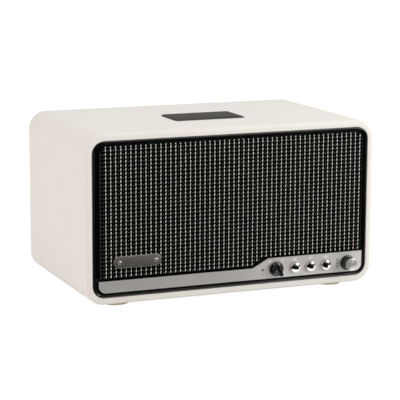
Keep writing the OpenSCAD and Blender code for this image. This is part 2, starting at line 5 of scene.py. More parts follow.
import bmesh
import bpy
from mathutils import Matrix, Vector


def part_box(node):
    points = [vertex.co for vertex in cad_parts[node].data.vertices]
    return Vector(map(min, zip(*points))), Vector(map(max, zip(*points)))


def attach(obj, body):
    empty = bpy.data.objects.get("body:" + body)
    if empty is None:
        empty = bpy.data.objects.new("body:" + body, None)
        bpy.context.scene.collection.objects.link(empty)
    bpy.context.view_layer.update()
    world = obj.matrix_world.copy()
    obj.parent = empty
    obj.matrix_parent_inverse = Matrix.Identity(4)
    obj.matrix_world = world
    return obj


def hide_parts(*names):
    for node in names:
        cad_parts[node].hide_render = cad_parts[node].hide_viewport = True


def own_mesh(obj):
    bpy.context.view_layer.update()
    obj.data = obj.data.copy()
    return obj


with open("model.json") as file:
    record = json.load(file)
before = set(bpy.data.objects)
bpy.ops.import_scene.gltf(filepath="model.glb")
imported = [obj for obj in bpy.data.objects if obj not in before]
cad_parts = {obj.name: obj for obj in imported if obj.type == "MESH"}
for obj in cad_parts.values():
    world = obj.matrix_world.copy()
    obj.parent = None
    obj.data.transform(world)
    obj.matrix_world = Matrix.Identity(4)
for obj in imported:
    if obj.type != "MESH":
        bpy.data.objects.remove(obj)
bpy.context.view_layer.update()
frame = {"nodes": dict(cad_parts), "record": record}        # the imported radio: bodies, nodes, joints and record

mm = 0.001
bodyOfNode = {node: body for body, nodes in frame["record"]["behaviour"]["bodies"].items() for node in nodes}
print("radio loaded,", len(frame["nodes"]), "nodes")

# ---- nodes of the finishes ----


def linearColour(code):
    # sRGB hex to the linear values that a shader takes
    channels = [int(code[i:i + 2], 16) / 255 for i in (1, 3, 5)]
    return (*[c / 12.92 if c <= 0.04045 else ((c + 0.055) / 1.055) ** 2.4 for c in channels], 1)


def addNode(tree, kind, sockets=None, **settings):
    # a socket takes a value, or the output that feeds it
    node = tree.nodes.new(kind)
    for name, value in settings.items():
        setattr(node, name, value)
    for socket, value in (sockets or {}).items():
        if isinstance(value, bpy.types.NodeSocket):
            tree.links.new(value, node.inputs[socket])
        else:
            node.inputs[socket].default_value = value
    return node


def newFinish(name, colour, roughness, **more):
    # a finish with one shader; more holds its other sockets, such as Metallic
    finish = bpy.data.materials.new(name)
    finish.use_nodes = True
    tree = finish.node_tree
    tree.nodes.clear()
    sockets = {"Base Color": linearColour(colour), "Roughness": roughness}
    sockets.update({socket.replace("_", " "): value for socket, value in more.items()})
    shader = addNode(tree, "ShaderNodeBsdfPrincipled", sockets)
    addNode(tree, "ShaderNodeOutputMaterial", {"Surface": shader.outputs[0]})
    return finish, tree, shader


def stretchedNoise(tree, size, stretch=(1, 1, 1), detail=3.0, centre=(0, 0, 0)):
    # noise of a real size in millimetres, drawn out along an axis by its stretch
    place = addNode(tree, "ShaderNodeTexCoord").outputs["Object"]
    scale = tuple(1 / (size * mm * s) for s in stretch)
    mapped = addNode(tree, "ShaderNodeMapping", {"Vector": place, "Location": centre, "Scale": scale})
    return addNode(tree, "ShaderNodeTexNoise", {"Vector": mapped.outputs[0], "Scale": 1.0, "Detail": detail})


def blendColours(tree, factor, first, second):
    mix = addNode(tree, "ShaderNodeMix", {0: factor, 6: linearColour(first), 7: linearColour(second)},
                  data_type="RGBA")
    return mix.outputs[2]


def raiseSurface(tree, shader, height, depth):
    # depth in millimetres
    bump = addNode(tree, "ShaderNodeBump", {"Height": height, "Distance": depth * mm, "Strength": 1.0})
    tree.links.new(bump.outputs[0], shader.inputs["Normal"])


def grainedFinish(name, colour, second, roughness, grain, depth, stretch=(1, 1, 1), **more):
    # two close colours, an uneven gloss and a relief, all from one grain size in millimetres
    finish, tree, shader = newFinish(name, colour, roughness[0], **more)
    grainNoise = stretchedNoise(tree, grain, stretch)
    cloud = stretchedNoise(tree, grain * 25, stretch, detail=2.0)
    gloss = addNode(tree, "ShaderNodeMapRange", {0: grainNoise.outputs[0], 3: roughness[0], 4: roughness[1]})
    tree.links.new(gloss.outputs[0], shader.inputs["Roughness"])
    tree.links.new(blendColours(tree, cloud.outputs[0], colour, second), shader.inputs["Base Color"])
    raiseSurface(tree, shader, grainNoise.outputs[0], depth)
    return finish


# ---- finishes ----

# Vinyl skin pressed with a fine leather grain: pebbles half a millimetre wide soften the satin highlight
def grainedVinyl():
    finish, tree, shader = newFinish("grainedVinyl", "#f3efe8", 0.5, Specular_IOR_Level=0.3)
    place = addNode(tree, "ShaderNodeTexCoord").outputs["Object"]
    pebbles = addNode(tree, "ShaderNodeTexVoronoi", {"Vector": place, "Scale": 1 / (0.7 * mm)},
                      feature="SMOOTH_F1")
    cloud = stretchedNoise(tree, 45)
    tree.links.new(blendColours(tree, cloud.outputs[0], "#f5f2eb", "#f1ede6"), shader.inputs["Base Color"])
    raiseSurface(tree, shader, pebbles.outputs["Distance"], 0.03)
    return finish


# Spun polypropylene yarn, matt black: its twist shows as fine slanting ridges
def blackYarn():
    finish, tree, shader = newFinish("blackYarn", "#050505", 0.85, Specular_IOR_Level=0.03)
    place = addNode(tree, "ShaderNodeTexCoord").outputs["Object"]
    twist = addNode(tree, "ShaderNodeTexWave", {"Vector": place, "Scale": 1 / (1.9 * mm), "Distortion": 1.0},
                    bands_direction="DIAGONAL")
    tree.links.new(blendColours(tree, twist.outputs[0], "#020202", "#080707"), shader.inputs["Base Color"])
    raiseSurface(tree, shader, twist.outputs[0], 0.06)
    return finish


# Metallised polyester yarn: pale silver with a soft sheen, brighter on the crest of each float
def silverYarn(name, light, dark):
    finish, tree, shader = newFinish(name, light, 0.42, Metallic=0.2, Specular_IOR_Level=0.6)
    place = addNode(tree, "ShaderNodeTexCoord").outputs["Object"]
    twist = addNode(tree, "ShaderNodeTexWave", {"Vector": place, "Scale": 1 / (1.6 * mm), "Distortion": 0.6},
                    bands_direction="DIAGONAL")
    tree.links.new(blendColours(tree, twist.outputs[0], dark, light), shader.inputs["Base Color"])
    raiseSurface(tree, shader, twist.outputs[0], 0.05)
    return finish


# Aluminium sheet brushed lengthwise and clear anodised: long hair lines and a highlight drawn out in height
def brushedAluminium(name, colour, second, roughness):
    finish, tree, shader = newFinish(name, colour, roughness, Metallic=0.65, Anisotropic=0.65)
    hairLines = stretchedNoise(tree, 0.18, stretch=(160, 1, 1), detail=4.0)
    across = addNode(tree, "ShaderNodeCombineXYZ", {2: 1.0})
    tree.links.new(across.outputs[0], shader.inputs["Tangent"])
    gloss = addNode(tree, "ShaderNodeMapRange", {0: hairLines.outputs[0], 3: roughness - 0.05,
                                                 4: roughness + 0.06})
    tree.links.new(gloss.outputs[0], shader.inputs["Roughness"])
    tree.links.new(blendColours(tree, hairLines.outputs[0], colour, second), shader.inputs["Base Color"])
    raiseSurface(tree, shader, hairLines.outputs[0], 0.004)
    return finish


# Aluminium spun on a lathe: rings round the middle turn the highlight into bright and dark wedges
def spunAluminium(middle):
    finish, tree, shader = newFinish("spunAluminium", "#efedea", 0.3, Metallic=0.7, Anisotropic=0.7)
    place = addNode(tree, "ShaderNodeTexCoord").outputs["Object"]
    fromMiddle = addNode(tree, "ShaderNodeVectorMath", {0: place, 1: middle}, operation="SUBTRACT")
    outward = addNode(tree, "ShaderNodeVectorTransform", {0: fromMiddle.outputs[0]}, vector_type="VECTOR",
                      convert_from="OBJECT", convert_to="WORLD")
    tree.links.new(outward.outputs[0], shader.inputs["Tangent"])
    radius = addNode(tree, "ShaderNodeVectorMath", {0: fromMiddle.outputs[0]}, operation="LENGTH")
    rings = addNode(tree, "ShaderNodeTexNoise", {"W": radius.outputs["Value"], "Scale": 1 / (0.35 * mm)},
                    noise_dimensions="1D")
    raiseSurface(tree, shader, rings.outputs[0], 0.006)
    return finish


# Nickel and chrome plate: a mirror with a faint orange peel
def chromePlate(name, colour, roughness):
    return grainedFinish(name, colour, colour, (roughness, roughness + 0.03), 1.5, 0.002, Metallic=1.0)


# Steamed beech turned to a disc: pale tan with darker pores along the grain
def turnedBeech():
    finish, tree, shader = newFinish("turnedBeech", "#ecd9b4", 0.55)
    grain = stretchedNoise(tree, 0.9, stretch=(14, 1, 1), detail=4.0)
    pores = stretchedNoise(tree, 0.35, stretch=(10, 1, 1), detail=2.0)
    tree.links.new(blendColours(tree, grain.outputs[0], "#fbeccb", "#e9cd9c"), shader.inputs["Base Color"])
    raiseSurface(tree, shader, pores.outputs[0], 0.05)
    return finish


# Solder mask over copper tracks: dark green, glossy, with the tracks raised under it
def solderMask():
    finish, tree, shader = newFinish("solderMask", "#0c3b22", 0.3, Coat_Weight=0.3)
    place = addNode(tree, "ShaderNodeTexCoord").outputs["Object"]
    tracks = addNode(tree, "ShaderNodeTexBrick", {"Vector": place, "Scale": 1 / (9 * mm)})
    tree.links.new(blendColours(tree, tracks.outputs["Fac"], "#0b3a21", "#15542f"),
                   shader.inputs["Base Color"])
    raiseSurface(tree, shader, tracks.outputs["Fac"], 0.03)
    return finish


finishes = {
    "cabinet": grainedVinyl(),
    # ABS moulded in a polished tool: deep black with clear reflections
    "bezel": grainedFinish("polishedAbs", "#0d0d0d", "#0f0f0e", (0.18, 0.26), 2.5, 0.004,
                           Specular_IOR_Level=1.0),
    # Medium-density fibreboard stained black: a matt felt of fibres
    "baffle": grainedFinish("stainedFibreboard", "#0f0e0c", "#090807", (0.75, 0.88), 0.5, 0.06,
                            Specular_IOR_Level=0.1),
    # ABS moulded in an etched tool: a fine pebble takes the gloss away
    "abs": grainedFinish("etchedAbs", "#191919", "#121212", (0.42, 0.55), 0.5, 0.02),
    "yarn": blackYarn(),
    "silver": silverYarn("silverYarn", "#fdfcf5", "#e2e0d8"),
    # darker copies of the silver yarn, painted shade: the dots and tails sunk between the black yarns, and the
    # column where the cloth turns at the frame's edge
    "dot": silverYarn("shadedSilverYarn", "#9a9892", "#73716c"),
    "tuft": silverYarn("deepShadeSilverYarn", "#62605b", "#42403d"),
    # Die-cast badge, sand-blasted and bronzed: warm dark grey, dull, with a lighter arris
    "badge": grainedFinish("blastedGunmetal", "#a5a199", "#97938c", (0.36, 0.46), 0.35, 0.015, Metallic=0.8),
    # Zinc-plated steel: bluish silver, slightly cloudy
    "screws": grainedFinish("zincPlatedSteel", "#e2e1dc", "#d2d1cc", (0.2, 0.32), 0.8, 0.01, Metallic=0.75),
    # Black oxide on steel: near black with an oily gloss
    "blackScrews": grainedFinish("blackOxideSteel", "#232322", "#191918", (0.3, 0.42), 0.6, 0.01,
                                 Metallic=0.8),
    "panel": brushedAluminium("brushedAluminium", "#e6e3df", "#dedbd7", 0.5),
    "board": solderMask(),
    # Smoked acrylic: dark and clear-coated, hides the lamp behind it
    "lens": grainedFinish("smokedAcrylic", "#0d0e10", "#14161a", (0.08, 0.12), 1.0, 0.001, Coat_Weight=0.5),
    # Phenolic knob, moulded and buffed: black with a soft wide highlight
    "knob": grainedFinish("buffedPhenolic", "#060606", "#0a0a09", (0.22, 0.28), 0.8, 0.003,
                          Specular_IOR_Level=1.0),
    # White screen print: matt, with a faint edge
    "print": grainedFinish("whiteScreenPrint", "#f6f5f1", "#efeee9", (0.6, 0.7), 0.3, 0.004),
    # Dark screen print: grey-black and matt
    "darkPrint": grainedFinish("greyScreenPrint", "#4c4a48", "#434140", (0.6, 0.7), 0.3, 0.004),
    # Die-cast zinc: grey, with a faint orange peel
    "zinc": grainedFinish("dieCastZinc", "#9da0a2", "#8b8e90", (0.35, 0.5), 1.2, 0.02, Metallic=1.0),
    "chrome": chromePlate("chromePlate", "#f0f0ed", 0.06),
    # Drawn spring wire: bright steel with lengthwise die marks
    "spring": grainedFinish("springWire", "#b9bab8", "#a3a4a2", (0.22, 0.35), 0.4, 0.004, Metallic=1.0),
    # Powder coat on pressed steel: black with a pebbled skin
    "basket": grainedFinish("powderCoat", "#1d1d1e", "#161617", (0.45, 0.6), 0.7, 0.03),
    # Sintered ferrite: charcoal ceramic with a dry surface
    "magnet": grainedFinish("sinteredFerrite", "#3d3d40", "#2f2f31", (0.6, 0.75), 0.5, 0.03),
    # Vacuum-formed polypropylene: charcoal with a satin face
    "cone": grainedFinish("formedPolypropylene", "#1a1b1d", "#151617", (0.35, 0.45), 1.0, 0.02),
    # Enamelled copper wire: orange, wound in fine even turns along the depth
    "coil": grainedFinish("enamelledCopper", "#b8622c", "#9c4f20", (0.2, 0.3), 0.3, 0.03,
                          stretch=(30, 1, 30), Metallic=1.0),
    # Butyl rubber: black, rubbed dull
    "surround": grainedFinish("butylRubber", "#101011", "#171718", (0.5, 0.65), 0.6, 0.01),
    # Resin-dipped cotton: amber, with its weave showing
    "spider": grainedFinish("resinCotton", "#a8742f", "#8f5f24", (0.6, 0.75), 0.4, 0.05),
    # Fibreboard under black vinyl: leathery and dull
    "rear": grainedFinish("blackVinyl", "#1c1c1c", "#151515", (0.5, 0.65), 0.9, 0.05),
    # Nickel-plated sheet steel: soft silver-grey
    "plate": grainedFinish("nickelSheet", "#8c8c8f", "#7d7d80", (0.3, 0.4), 0.25, 0.004,
                           stretch=(60, 1, 1), Metallic=1.0),
    "antenna": chromePlate("chromedBrass", "#dededc", 0.1),
    # Silicone pad with a dusty bloom: warm dark grey, velvety at a low angle
    "pad": grainedFinish("siliconeRubber", "#504e47", "#484640", (0.75, 0.85), 0.35, 0.02,
                         Specular_IOR_Level=0.15),
    # the same silicone darker on the slopes and rim than on the top: painted shade
    "padShadedSlope": grainedFinish("shadedSilicone", "#211f1b", "#1a1815", (0.65, 0.75), 0.35, 0.02,
                             Specular_IOR_Level=0.2),
    "feet": turnedBeech(),
}
print("finishes")

# ---- shaping, in millimetres ----


def placeOf(node):
    # lowest corner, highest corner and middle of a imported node, in millimetres
    low, high = (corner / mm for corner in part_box(node))
    return low, high, (low + high) / 2


def roundedFace(bm, width, height, radius, segments=8):
    # one flat face with round corners that faces up
    made = bmesh.ops.create_grid(bm, x_segments=1, y_segments=1, size=0.5)
    bmesh.ops.scale(bm, vec=(width, height, 1), verts=made["verts"])
    bmesh.ops.bevel(bm, geom=made["verts"], offset=radius, offset_type="OFFSET", segments=segments,
                    profile=0.5, affect="VERTICES", material=-1)
    return max(bm.faces, key=lambda face: face.index)


def quarterRound(radius, segments=5, height=None):
    # steps that turn a wall into a flat over a round edge
    rise = height or radius
    turns = [math.pi / 2 * i / segments for i in range(segments + 1)]
    points = [(radius * (1 - math.cos(a)), rise * math.sin(a)) for a in turns]
    return [(b[0] - a[0], b[1] - a[1]) for a, b in zip(points, points[1:])]


def downRound(radius, segments=5):
    # steps that turn a flat into a wall that goes down
    return [(up, -inward) for inward, up in quarterRound(radius, segments)]


def stepIn(bm, face, steps):
    # rings of a face at a list of inward and upward steps
    for inward, upward in steps:
        bmesh.ops.inset_region(bm, faces=[face], thickness=inward, depth=upward, use_boundary=True,
                               use_even_offset=True)


def fitFace(bm, face, width, height):
    # stretches one ring of a front or rear face to a width and a height
    xs = [v.co.x for v in face.verts]
    zs = [v.co.z for v in face.verts]
    stretch = (width / (max(xs) - min(xs)), 1, height / (max(zs) - min(zs)))
    bmesh.ops.scale(bm, vec=stretch, verts=face.verts)


def closeBack(bm):
    openEdges = [edge for edge in bm.edges if edge.is_boundary]
    bmesh.ops.holes_fill(bm, edges=openEdges, sides=0)


def turnedPiece(bm, profile, steps=72):
    # turns a profile of radius and height about the upright axis
    points = [bm.verts.new((radius, 0, height)) for radius, height in profile]
    lines = [bm.edges.new(pair) for pair in zip(points, points[1:])]
    bmesh.ops.spin(bm, geom=points + lines, cent=(0, 0, 0), axis=(0, 0, 1), angle=2 * math.pi,
                   steps=steps, use_merge=True)
    bmesh.ops.remove_doubles(bm, verts=bm.verts, dist=0.0005)


def arcPoints(middle, radius, start, end, count=8):
    # points of an arc between two angles in degrees, as radius and height
    turns = [math.radians(start + (end - start) * i / count) for i in range(count + 1)]
    return [(middle[0] + radius * math.cos(a), middle[1] + radius * math.sin(a)) for a in turns]


def standUp(bm, x, y, z, rear=False, verts=None):
    # turns what faces up to face the front or the rear, and puts it in its place
    moved = verts or bm.verts
    turn = Matrix.Rotation(math.radians(90), 4, "X")
    if rear:
        turn = Matrix.Rotation(math.radians(180), 4, "Z") @ turn
    bmesh.ops.transform(bm, matrix=Matrix.Translation((x, y, z)) @ turn, verts=moved)


def partMesh(bm):
    mesh = bpy.data.meshes.new("part")
    bm.to_mesh(mesh)
    bm.free()
    return mesh


def addCopy(bm, mesh, place=Matrix()):
    # one more copy of a finished part, in its own place
    copied = mesh.copy()
    copied.transform(place)
    bm.from_mesh(copied)
    bpy.data.meshes.remove(copied)


def finishPiece(name, bm, finish, stands=(), body=None, sharp=32):
    # millimetres to metres, faces outward, smooth between the hard edges
    bmesh.ops.recalc_face_normals(bm, faces=bm.faces)
    bmesh.ops.scale(bm, vec=(mm, mm, mm), verts=bm.verts)
    mesh = bpy.data.meshes.new(name)
    bm.to_mesh(mesh)
    bm.free()
    mesh.polygons.foreach_set("use_smooth", [True] * len(mesh.polygons))
    mesh.set_sharp_from_angle(angle=math.radians(sharp))
    mesh.materials.append(finishes[finish])
    piece = bpy.data.objects.new(name, mesh)
    bpy.context.collection.objects.link(piece)
    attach(piece, body or bodyOfNode[stands[0]])
    if stands:
        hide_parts(*stands)
    return piece


def softenedCopy(node, name, finish, edge=0.25, sharp=32):
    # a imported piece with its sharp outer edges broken, as a tool or a mould leaves them
    bm = bmesh.new()
    bm.from_mesh(frame["nodes"][node].data)
    bmesh.ops.scale(bm, vec=(1 / mm, 1 / mm, 1 / mm), verts=bm.verts)
    bmesh.ops.remove_doubles(bm, verts=bm.verts, dist=0.002)
    bmesh.ops.dissolve_limit(bm, angle_limit=math.radians(0.6), verts=bm.verts, edges=bm.edges)
    if edge:
        hard = [e for e in bm.edges
                if e.is_manifold and e.is_convex and e.calc_face_angle() > math.radians(40)]
        bmesh.ops.bevel(bm, geom=hard, offset=edge, offset_type="OFFSET", segments=2, profile=0.5,
                        affect="EDGES", clamp_overlap=True, material=-1)
    return finishPiece(name, bm, finish, stands=(node,), sharp=sharp)


def dress(nodes, finish):
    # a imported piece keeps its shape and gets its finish
    for node in nodes:
        mesh = frame["nodes"][node].data
        mesh.materials.clear()
        mesh.materials.append(finishes[finish])


cabinetLow, cabinetHigh, cabinetMiddle = placeOf("cabinet")

# ---- cabinet and bezel ----

cabinetShape = {"cornerRadius": 17.5, "edgeRadius": 3, "arris": 0.5, "pocketDepth": 17, "wall": 12,
                "rebate": 9, "ledgeDepth": 12, "ledgeWidth": 13, "openingGap": 0.1}


def makeCabinet():
    shape = cabinetShape
    size = cabinetHigh - cabinetLow
    bezelLow, bezelHigh, _ = placeOf("front_bezel")
    opening = bezelHigh - bezelLow + 2 * shape["openingGap"] * Vector((1, 0, 1))
    inner = size - Vector((2 * shape["wall"], 0, 2 * shape["wall"]))
    bm = bmesh.new()
    bmesh.ops.create_cube(bm, size=1)
    bmesh.ops.scale(bm, vec=size, verts=bm.verts)
    longEdges = [e for e in bm.edges if abs(e.verts[0].co.y - e.verts[1].co.y) > 1]
    bmesh.ops.bevel(bm, geom=longEdges, offset=shape["cornerRadius"], offset_type="OFFSET", segments=18,
                    profile=0.5, affect="EDGES", material=-1)
    rims = [e for f in bm.faces if len(f.verts) > 4 for e in f.edges]
    bmesh.ops.bevel(bm, geom=rims, offset=shape["edgeRadius"], offset_type="OFFSET", segments=6,
                    profile=0.5, affect="EDGES", material=-1)
    front = min((f for f in bm.faces if len(f.verts) > 4), key=lambda f: f.calc_center_median().y)
    rear = max((f for f in bm.faces if len(f.verts) > 4), key=lambda f: f.calc_center_median().y)
    arris = shape["arris"]
    bmesh.ops.inset_region(bm, faces=[front], thickness=1, depth=0, use_even_offset=True)
    fitFace(bm, front, opening.x + 2 * arris, opening.z + 2 * arris)
    stepIn(bm, front, downRound(arris, 3) + [(0, arris - shape["pocketDepth"]), (4, 0)])
    fitFace(bm, front, inner.x, inner.z)
    stepIn(bm, rear, [(shape["rebate"] - shape["edgeRadius"] - arris, 0)] + downRound(arris, 3)
           + [(0, arris - shape["rebate"]), (shape["ledgeWidth"], 0), (0, -shape["ledgeDepth"]), (1, 0)])
    fitFace(bm, rear, inner.x, inner.z)
    loops = list(front.edges) + list(rear.edges)
    bmesh.ops.delete(bm, geom=[front, rear], context="FACES_ONLY")
    bmesh.ops.bridge_loops(bm, edges=loops)
    bmesh.ops.translate(bm, vec=cabinetMiddle, verts=bm.verts)
    return finishPiece("cabinet_shell", bm, "cabinet", stands=("cabinet",))


bezelShape = {"cornerRadius": 10.9, "ridge": 3, "flange": 2.5, "flangeWidth": 5.2, "window": (263.6, 131.3)}


def makeBezel():
    # a ridge with a round crest, and the flat flange behind it that carries the grille
    shape = bezelShape
    low, high, middle = placeOf("front_bezel")
    size = high - low
    bm = bmesh.new()
    face = roundedFace(bm, size.x, size.z, shape["cornerRadius"], 14)
    outline = list(face.edges)
    crest = shape["ridge"] / 2
    flange = shape["flange"]
    stepIn(bm, face, [(0, size.y - crest)] + quarterRound(crest, 7) + downRound(crest, 7)
           + [(0, flange - size.y + crest), (shape["flangeWidth"], 0)])
    xs = [v.co.x for v in face.verts]
    ys = [v.co.y for v in face.verts]
    window = shape["window"]
    grow = (window[0] / (max(xs) - min(xs)), window[1] / (max(ys) - min(ys)), 1)
    bmesh.ops.scale(bm, vec=grow, verts=face.verts)
    stepIn(bm, face, [(0, -flange)])
    inner = list(face.edges)
    bmesh.ops.delete(bm, geom=[face], context="FACES_ONLY")
    bmesh.ops.bridge_loops(bm, edges=outline + inner)
    standUp(bm, middle.x, high.y, middle.z)
    return finishPiece("front_bezel_ring", bm, "bezel", stands=("front_bezel",))


makeCabinet()
makeBezel()
print("cabinet and bezel")

# ---- grille: a skin of cloth, and the yarns woven over it ----

grilleShape = {"slopeStart": 19.6, "slopeWidth": 16.6, "gap": 2, "cornerRadius": 7, "lowerRadius": 2.9,
               "turn": 1.8, "skin": 0.5, "yarns": 0.9}
weave = {"columnPitch": 5.0, "rowPitch": 3.75, "firstColumn": -1.0, "firstRow": 3.2, "turnedRow": 0.5,
         "floatLength": 2.9, "turnedLength": 1.6, "floatWidth": 1.0, "floatDepth": 0.85, "dotSize": 0.8,
         "tailLength": 2.3, "tailWidth": 0.5, "hem": 1.1, "turnedHem": 0.2, "sway": 0.1, "leanSway": 4,
         "seed": 4}
strand = {"hem": 0.8, "ribWidth": 1.1, "ribPlaces": (0.26, 0.74), "ribDepth": 0.5, "ribCrimp": 0.12,
          "weftWidth": 0.9, "weftDepth": 0.62, "weftCrimp": 0.2, "weftSwing": 0.28, "thinness": 0.7}
clothLow, clothHigh, _ = placeOf("grille_cloth")
panelLow, panelHigh, _ = placeOf("control_panel")
clothFront = clothLow.y
lowLine = clothLow.z
highLine = panelHigh.z + grilleShape["gap"]
slopeAngle = math.atan2(highLine - lowLine, grilleShape["slopeWidth"])
slopeStart = grilleShape["slopeStart"] - grilleShape["gap"] * math.tan(slopeAngle / 2)


def insideCloth(x, z):
    # how far a point lies inside the outline of the grille
    radius = grilleShape["cornerRadius"]
    acrossX = abs(x) - (clothHigh.x - radius)
    acrossZ = abs(z - (clothHigh.z + panelLow.z) / 2) - ((clothHigh.z - panelLow.z) / 2 - radius)
    outline = radius - math.hypot(max(acrossX, 0), max(acrossZ, 0)) - min(max(acrossX, acrossZ), 0)
    aboveSlope = (z - lowLine) * math.cos(slopeAngle) - (x - slopeStart) * math.sin(slopeAngle)
    return min(outline, z - lowLine, max(z - highLine, aboveSlope))


def clothDepth(x, z):
    # how far the cloth falls back where it turns round the frame's edge
    turn = grilleShape["turn"]
    missing = max(0, turn - max(insideCloth(x, z), 0))
    return turn - math.sqrt(max(turn * turn - missing * missing, 0))


def makeClothSkin():
    shape = grilleShape
    bm = bmesh.new()
    corners = [(clothLow.x, lowLine), (slopeStart, lowLine), (slopeStart + shape["slopeWidth"], highLine),
               (clothHigh.x, highLine), (clothHigh.x, clothHigh.z), (clothLow.x, clothHigh.z)]
    points = [bm.verts.new((x, z, 0)) for x, z in corners]
    bm.faces.new(points)
    radii = [shape["lowerRadius"]] * 4 + [shape["cornerRadius"]] * 2
    for point, radius in zip(points, radii):
        bmesh.ops.bevel(bm, geom=[point], offset=radius, offset_type="OFFSET", segments=8, profile=0.5,
                        affect="VERTICES", material=-1)
    bm.faces.ensure_lookup_table()
    depth = clothHigh.y - clothFront - shape["yarns"] - shape["turn"]
    stepIn(bm, bm.faces[0], [(shape["yarns"], 0), (0, depth)] + quarterRound(shape["turn"] - 0.2, 5,
                                                                           shape["turn"]))
    rim = [f for f in bm.faces if abs(f.calc_center_median().z) < 0.01]
    bmesh.ops.delete(bm, geom=rim, context="FACES")
    bmesh.ops.recalc_face_normals(bm, faces=bm.faces)
    bmesh.ops.solidify(bm, geom=bm.faces[:] + bm.edges[:] + bm.verts[:], thickness=-shape["skin"])
    standUp(bm, 0, clothHigh.y, 0)
    return finishPiece("grille_skin", bm, "yarn", stands=("grille_cloth",), sharp=60)


def clothRows():
    rows = int((clothHigh.z - lowLine) / weave["rowPitch"])
    return [clothHigh.z - weave["firstRow"] - weave["rowPitch"] * i for i in range(rows)]


def clothColumns():
    half = int(clothHigh.x / weave["columnPitch"])
    return [weave["firstColumn"] + weave["columnPitch"] * i for i in range(-half, half + 1)]


def makeBeads(name, finish, columns, length, width, shift, depth, lean, rings, rows=None,
              hem=weave["hem"]):
    # silver yarn that shows between the black ones, as one bead for each crossing
    steady = random.Random(weave["seed"])
    bead = bmesh.new()
    bmesh.ops.create_uvsphere(bead, u_segments=rings + 2, v_segments=rings, radius=1)
    beadMesh = partMesh(bead)
    bm = bmesh.new()
    for x in columns:
        for z in rows or clothRows():
            placeX = x + shift[0] + steady.uniform(-1, 1) * weave["sway"]
            placeZ = z + shift[1] + steady.uniform(-1, 1) * weave["sway"]
            if insideCloth(placeX, placeZ) < hem:
                continue
            placeY = clothFront + depth + clothDepth(placeX, placeZ)
            turn = Matrix.Rotation(math.radians(lean + steady.uniform(-1, 1) * weave["leanSway"]), 4, "Y")
            size = Matrix.Diagonal((width / 2, weave["floatDepth"] / 2, length / 2, 1))
            addCopy(bm, beadMesh, Matrix.Translation((placeX, placeY, placeZ)) @ turn @ size)
    return finishPiece(name, bm, finish, body="housing", sharp=180)


def addStrand(bm, start, end, width, cuts):
    # a straight flat yarn between two places, cut so that it can bend
    yarn = bmesh.new()
    made = bmesh.ops.create_cube(yarn, size=1)["verts"]
    span = Vector(end) - Vector(start)
    along = 0 if abs(span.x) > abs(span.z) else 2
    size = [width, width * strand["thinness"], width]
    size[along] = span.length
    bmesh.ops.scale(yarn, vec=size, verts=made)
    bmesh.ops.translate(yarn, vec=(Vector(start) + Vector(end)) / 2, verts=made)
    longEdges = [e for e in yarn.edges
                 if abs(e.verts[0].co[along] - e.verts[1].co[along]) > span.length / 2]
    bmesh.ops.subdivide_edges(yarn, edges=longEdges, cuts=cuts)
    addCopy(bm, partMesh(yarn))


def spanOf(inside, start, end, step=0.5):
    # the stretch of a line on which a test holds
    places = [start + step * i for i in range(int((end - start) / step) + 1)]
    held = [p for p in places if inside(p)]
    return (held[0], held[-1]) if len(held) > 1 else None


def makeWefts():
    # black yarns from side to side that bind the silver ones between their floats
    pitch = weave["columnPitch"]
    bm = bmesh.new()
    for z in clothRows():
        level = z - weave["rowPitch"] / 2
        span = spanOf(lambda x: insideCloth(x, level) > strand["hem"], clothLow.x, clothHigh.x)
        if span:
            cuts = int((span[1] - span[0]) / pitch * 6)
            addStrand(bm, (span[0], 0, level), (span[1], 0, level), strand["weftWidth"], cuts)
    for v in bm.verts:
        wave = math.cos(2 * math.pi * v.co.x / pitch)
        fall = clothDepth(v.co.x, v.co.z)
        v.co.z += strand["weftSwing"] * math.sin(2 * math.pi * v.co.x / pitch)
        v.co.y += clothFront + strand["weftDepth"] - strand["weftCrimp"] * wave + fall
    return finishPiece("weft_yarns", bm, "yarn", body="housing", sharp=180)


def makeRibs():
    # black yarns from top to bottom on both sides of each silver one
    bm = bmesh.new()
    pitch = weave["rowPitch"]
    for x in clothColumns():
        for side in strand["ribPlaces"]:
            place = x + side * weave["columnPitch"]
            span = spanOf(lambda z: insideCloth(place, z) > strand["hem"], lowLine, clothHigh.z)
            if span:
                cuts = int((span[1] - span[0]) / pitch * 2)
                addStrand(bm, (place, 0, span[0]), (place, 0, span[1]), strand["ribWidth"], cuts)
    for v in bm.verts:
        wave = math.cos(2 * math.pi * (clothHigh.z - v.co.z) / pitch)
        v.co.y += clothFront + strand["ribDepth"] + strand["ribCrimp"] * wave + clothDepth(v.co.x, v.co.z)
    return finishPiece("warp_yarns", bm, "yarn", body="housing", sharp=180)


skin = makeClothSkin()
columns = clothColumns()
yarns = [
    makeBeads("silver_floats", "silver", columns[1:], weave["floatLength"], weave["floatWidth"],
              shift=(0, 0), depth=0.26, lean=4, rings=6),
    # the column at the frame's edge takes the darker silver: painted shade where the cloth turns
    makeBeads("edge_floats", "tuft", columns[:1], weave["floatLength"], weave["floatWidth"] * 0.7,
              shift=(0, 0), depth=0.4, lean=4, rings=6),
    makeBeads("turned_floats", "silver", columns[1:], weave["turnedLength"], weave["floatWidth"],
              shift=(0, 0), depth=0.1, lean=4, rings=6, rows=[clothHigh.z - weave["turnedRow"]],
              hem=weave["turnedHem"]),
    # the tails and dots take the darker silver: painted shade between the black yarns
    makeBeads("silver_tails", "tuft", columns, weave["tailLength"], weave["tailWidth"],
              shift=(-1.35, -0.9), depth=0.5, lean=48, rings=4),
    makeBeads("silver_dots", "dot", columns, weave["dotSize"], weave["dotSize"],
              shift=(-2.4, -0.4), depth=0.42, lean=0, rings=4),
    makeWefts(),
    makeRibs(),
]
print("grille cloth")

# ---- badge ----

badgeShape = {"edge": 0.8}


